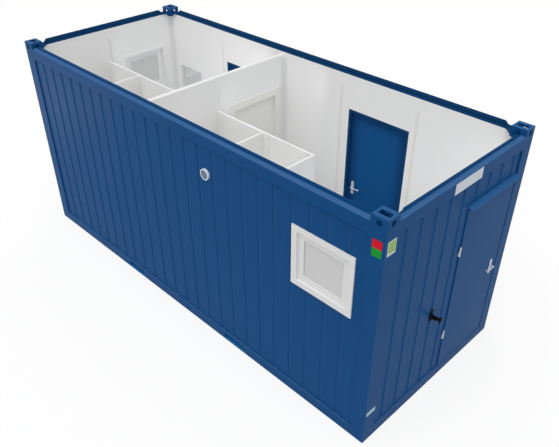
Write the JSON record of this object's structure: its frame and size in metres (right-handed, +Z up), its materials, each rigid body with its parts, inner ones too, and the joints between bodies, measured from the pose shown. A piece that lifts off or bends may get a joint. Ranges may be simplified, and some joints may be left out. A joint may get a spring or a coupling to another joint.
{
  "type": "toilet container",
  "caption": "Portable steel sanitary container with the roof off: ribbed walls, outward doors, tilting windows, toilet cubicles, wash basins and lifting corners.",
  "frame": {"origin": "middle of the underside of the base frame, on the ground plane", "axes": "+X along the length towards the end wall with the door, -Y towards the long wall with the window, +Z up"},
  "size_m": [6.184, 2.543, 2.8],
  "materials": {
    "blue_paint": "satin",
    "floor_board": "matte",
    "floor_vinyl": "satin",
    "mineral_wool": "matte",
    "white_board": "satin",
    "cream_strip": "satin",
    "white_plastic": "gloss",
    "grey_plastic": "satin",
    "glass": "gloss",
    "mirror": "polished",
    "glazed_ceramic": "gloss",
    "chrome": "polished",
    "light_metal": "satin",
    "steel": "satin",
    "black_paint": "matte"
  },
  "bodies": {
    "container": {"base_frame": "blue_paint", "fork_pockets": "blue_paint", "corner_castings": "blue_paint", "corner_posts": "blue_paint", "roof_rails": "blue_paint", "floor_deck": "floor_board", "floor_covering": "floor_vinyl", "long_wall_cladding": "blue_paint", "end_wall_cladding": "blue_paint", "wall_insulation": "mineral_wool", "wall_lining": "white_board", "joint_strips": "cream_strip", "partition_wall": "white_board", "cubicle_panels": "white_board", "entrance_door_frames": "blue_paint", "partition_door_frame": "white_board", "rain_hoods": "blue_paint", "door_hinges": "steel", "door_holders": "black_paint", "window_frames": "white_plastic", "vent_housing": "white_plastic", "toilet_bowls": "glazed_ceramic", "toilet_cisterns": "white_plastic", "wash_basins": "glazed_ceramic", "tap_bodies": "chrome", "mirrors": "mirror", "service_pipes": "grey_plastic"},
    "end_door": {"end_door": "blue_paint"},
    "end_door_handle": {"end_door_handle": "light_metal"},
    "left_side_door": {"left_side_door": "blue_paint"},
    "left_side_door_handle": {"left_side_door_handle": "light_metal"},
    "right_side_door": {"right_side_door": "blue_paint"},
    "right_side_door_handle": {"right_side_door_handle": "light_metal"},
    "partition_door": {"partition_door": "white_board"},
    "partition_door_handle": {"partition_door_handle": "light_metal"},
    "left_outer_cubicle_door": {"left_outer_cubicle_door": "white_board"},
    "left_outer_lock_knob": {"left_outer_lock_knob": "light_metal"},
    "left_outer_toilet_seat": {"left_outer_toilet_seat": "white_plastic"},
    "left_outer_flush_button": {"left_outer_flush_button": "chrome"},
    "left_inner_cubicle_door": {"left_inner_cubicle_door": "white_board"},
    "left_inner_lock_knob": {"left_inner_lock_knob": "light_metal"},
    "left_inner_toilet_seat": {"left_inner_toilet_seat": "white_plastic"},
    "left_inner_flush_button": {"left_inner_flush_button": "chrome"},
    "right_inner_cubicle_door": {"right_inner_cubicle_door": "white_board"},
    "right_inner_lock_knob": {"right_inner_lock_knob": "light_metal"},
    "right_inner_toilet_seat": {"right_inner_toilet_seat": "white_plastic"},
    "right_inner_flush_button": {"right_inner_flush_button": "chrome"},
    "right_outer_cubicle_door": {"right_outer_cubicle_door": "white_board"},
    "right_outer_lock_knob": {"right_outer_lock_knob": "light_metal"},
    "right_outer_toilet_seat": {"right_outer_toilet_seat": "white_plastic"},
    "right_outer_flush_button": {"right_outer_flush_button": "chrome"},
    "side_window_sash": {"side_window_sash": "white_plastic", "side_window_pane": "glass"},
    "side_window_handle": {"side_window_handle": "white_plastic"},
    "end_window_sash": {"end_window_sash": "white_plastic", "end_window_pane": "glass"},
    "end_window_handle": {"end_window_handle": "white_plastic"},
    "left_tap_lever": {"left_tap_lever": "chrome"},
    "right_tap_lever": {"right_tap_lever": "chrome"},
    "fan_impeller": {"fan_impeller": "grey_plastic"}
  },
  "joints": [
    {"name": "end_door_swing", "type": "hinge", "parent": "container", "child": "end_door", "pos_m": [3.0235, 0.1265, 1.2], "axis": [0, 0, -1], "range_deg": [0, 160]},
    {"name": "end_door_lever", "type": "hinge", "parent": "end_door", "child": "end_door_handle", "pos_m": [2.9955, 0.932, 1.17], "axis": [1, 0, 0], "range_deg": [0, 40], "stiffness_Nm_per_rad": 1.5, "springref_deg": -34.38},
    {"name": "left_side_door_swing", "type": "hinge", "parent": "container", "child": "left_side_door", "pos_m": [-1.628, 1.2135, 1.2], "axis": [0, 0, 1], "range_deg": [0, 160]},
    {"name": "left_side_door_lever", "type": "hinge", "parent": "left_side_door", "child": "left_side_door_handle", "pos_m": [-0.8225, 1.1855, 1.17], "axis": [0, -1, 0], "range_deg": [0, 40], "stiffness_Nm_per_rad": 1.5, "springref_deg": -34.38},
    {"name": "right_side_door_swing", "type": "hinge", "parent": "container", "child": "right_side_door", "pos_m": [1.628, 1.2135, 1.2], "axis": [0, 0, -1], "range_deg": [0, 160]},
    {"name": "right_side_door_lever", "type": "hinge", "parent": "right_side_door", "child": "right_side_door_handle", "pos_m": [0.8225, 1.1855, 1.17], "axis": [0, 1, 0], "range_deg": [0, 40], "stiffness_Nm_per_rad": 1.5, "springref_deg": -34.38},
    {"name": "partition_door_swing", "type": "hinge", "parent": "container", "child": "partition_door", "pos_m": [-0.5315, 0.9615, 1.2], "axis": [0, 0, -1], "range_deg": [0, 90]},
    {"name": "partition_door_lever", "type": "hinge", "parent": "partition_door", "child": "partition_door_handle", "pos_m": [-0.502, 0.3325, 1.17], "axis": [-1, 0, 0], "range_deg": [0, 40], "stiffness_Nm_per_rad": 1.5, "springref_deg": -34.38},
    {"name": "left_outer_cubicle_door_swing", "type": "hinge", "parent": "container", "child": "left_outer_cubicle_door", "pos_m": [-2.248, -0.0305, 1.2], "axis": [0, 0, -1], "range_deg": [0, 90]},
    {"name": "left_outer_lock_knob_turn", "type": "hinge", "parent": "left_outer_cubicle_door", "child": "left_outer_lock_knob", "pos_m": [-2.795, -0.054, 1.145], "axis": [0, 1, 0], "range_deg": [0, 90]},
    {"name": "left_outer_toilet_seat_lift", "type": "hinge", "parent": "container", "child": "left_outer_toilet_seat", "pos_m": [-2.55, -0.9, 0.5555], "axis": [1, 0, 0], "range_deg": [0, 97]},
    {"name": "left_outer_flush_button_press", "type": "slide", "parent": "container", "child": "left_outer_flush_button", "axis": [0, 0, -1], "range_m": [0, 0.005], "stiffness_N_per_m": 800, "springref_m": -0.005},
    {"name": "left_inner_cubicle_door_swing", "type": "hinge", "parent": "container", "child": "left_inner_cubicle_door", "pos_m": [-1.46, -0.0305, 1.2], "axis": [0, 0, -1], "range_deg": [0, 90]},
    {"name": "left_inner_lock_knob_turn", "type": "hinge", "parent": "left_inner_cubicle_door", "child": "left_inner_lock_knob", "pos_m": [-2.007, -0.054, 1.145], "axis": [0, 1, 0], "range_deg": [0, 90]},
    {"name": "left_inner_toilet_seat_lift", "type": "hinge", "parent": "container", "child": "left_inner_toilet_seat", "pos_m": [-1.762, -0.9, 0.5555], "axis": [1, 0, 0], "range_deg": [0, 97]},
    {"name": "left_inner_flush_button_press", "type": "slide", "parent": "container", "child": "left_inner_flush_button", "axis": [0, 0, -1], "range_m": [0, 0.005], "stiffness_N_per_m": 800, "springref_m": -0.005},
    {"name": "right_inner_cubicle_door_swing", "type": "hinge", "parent": "container", "child": "right_inner_cubicle_door", "pos_m": [-0.348, -0.0305, 1.2], "axis": [0, 0, 1], "range_deg": [0, 90]},
    {"name": "right_inner_lock_knob_turn", "type": "hinge", "parent": "right_inner_cubicle_door", "child": "right_inner_lock_knob", "pos_m": [0.199, -0.054, 1.145], "axis": [0, 1, 0], "range_deg": [0, 90]},
    {"name": "right_inner_toilet_seat_lift", "type": "hinge", "parent": "container", "child": "right_inner_toilet_seat", "pos_m": [-0.046, -0.9, 0.5555], "axis": [1, 0, 0], "range_deg": [0, 97]},
    {"name": "right_inner_flush_button_press", "type": "slide", "parent": "container", "child": "right_inner_flush_button", "axis": [0, 0, -1], "range_m": [0, 0.005], "stiffness_N_per_m": 800, "springref_m": -0.005},
    {"name": "right_outer_cubicle_door_swing", "type": "hinge", "parent": "container", "child": "right_outer_cubicle_door", "pos_m": [0.472, -0.0305, 1.2], "axis": [0, 0, 1], "range_deg": [0, 90]},
    {"name": "right_outer_lock_knob_turn", "type": "hinge", "parent": "right_outer_cubicle_door", "child": "right_outer_lock_knob", "pos_m": [1.019, -0.054, 1.145], "axis": [0, 1, 0], "range_deg": [0, 90]},
    {"name": "right_outer_toilet_seat_lift", "type": "hinge", "parent": "container", "child": "right_outer_toilet_seat", "pos_m": [0.774, -0.9, 0.5555], "axis": [1, 0, 0], "range_deg": [0, 97]},
    {"name": "right_outer_flush_button_press", "type": "slide", "parent": "container", "child": "right_outer_flush_button", "axis": [0, 0, -1], "range_m": [0, 0.005], "stiffness_N_per_m": 800, "springref_m": -0.005},
    {"name": "side_window_tilt", "type": "hinge", "parent": "container", "child": "side_window_sash", "pos_m": [2.3465, -1.1495, 1.625], "axis": [-1, 0, 0], "range_deg": [0, 18]},
    {"name": "side_window_handle_turn", "type": "hinge", "parent": "side_window_sash", "child": "side_window_handle", "pos_m": [2.3465, -1.1375, 2.165], "axis": [0, 1, 0], "range_deg": [0, 90]},
    {"name": "end_window_tilt", "type": "hinge", "parent": "container", "child": "end_window_sash", "pos_m": [-2.9595, 0.565, 1.625], "axis": [0, 1, 0], "range_deg": [0, 18]},
    {"name": "end_window_handle_turn", "type": "hinge", "parent": "end_window_sash", "child": "end_window_handle", "pos_m": [-2.9475, 0.565, 2.165], "axis": [1, 0, 0], "range_deg": [0, 90]},
    {"name": "left_tap_turn", "type": "hinge", "parent": "container", "child": "left_tap_lever", "pos_m": [-2.507, 1.075, 1.09], "axis": [0, 0, 1], "range_deg": [-45, 45]},
    {"name": "right_tap_turn", "type": "hinge", "parent": "container", "child": "right_tap_lever", "pos_m": [2.885, -0.56, 1.09], "axis": [0, 0, 1], "range_deg": [-45, 45]},
    {"name": "fan_spin", "type": "hinge", "parent": "container", "child": "fan_impeller", "pos_m": [0.692, -1.179, 2.271], "axis": [0, 1, 0], "continuous": true}
  ]
}
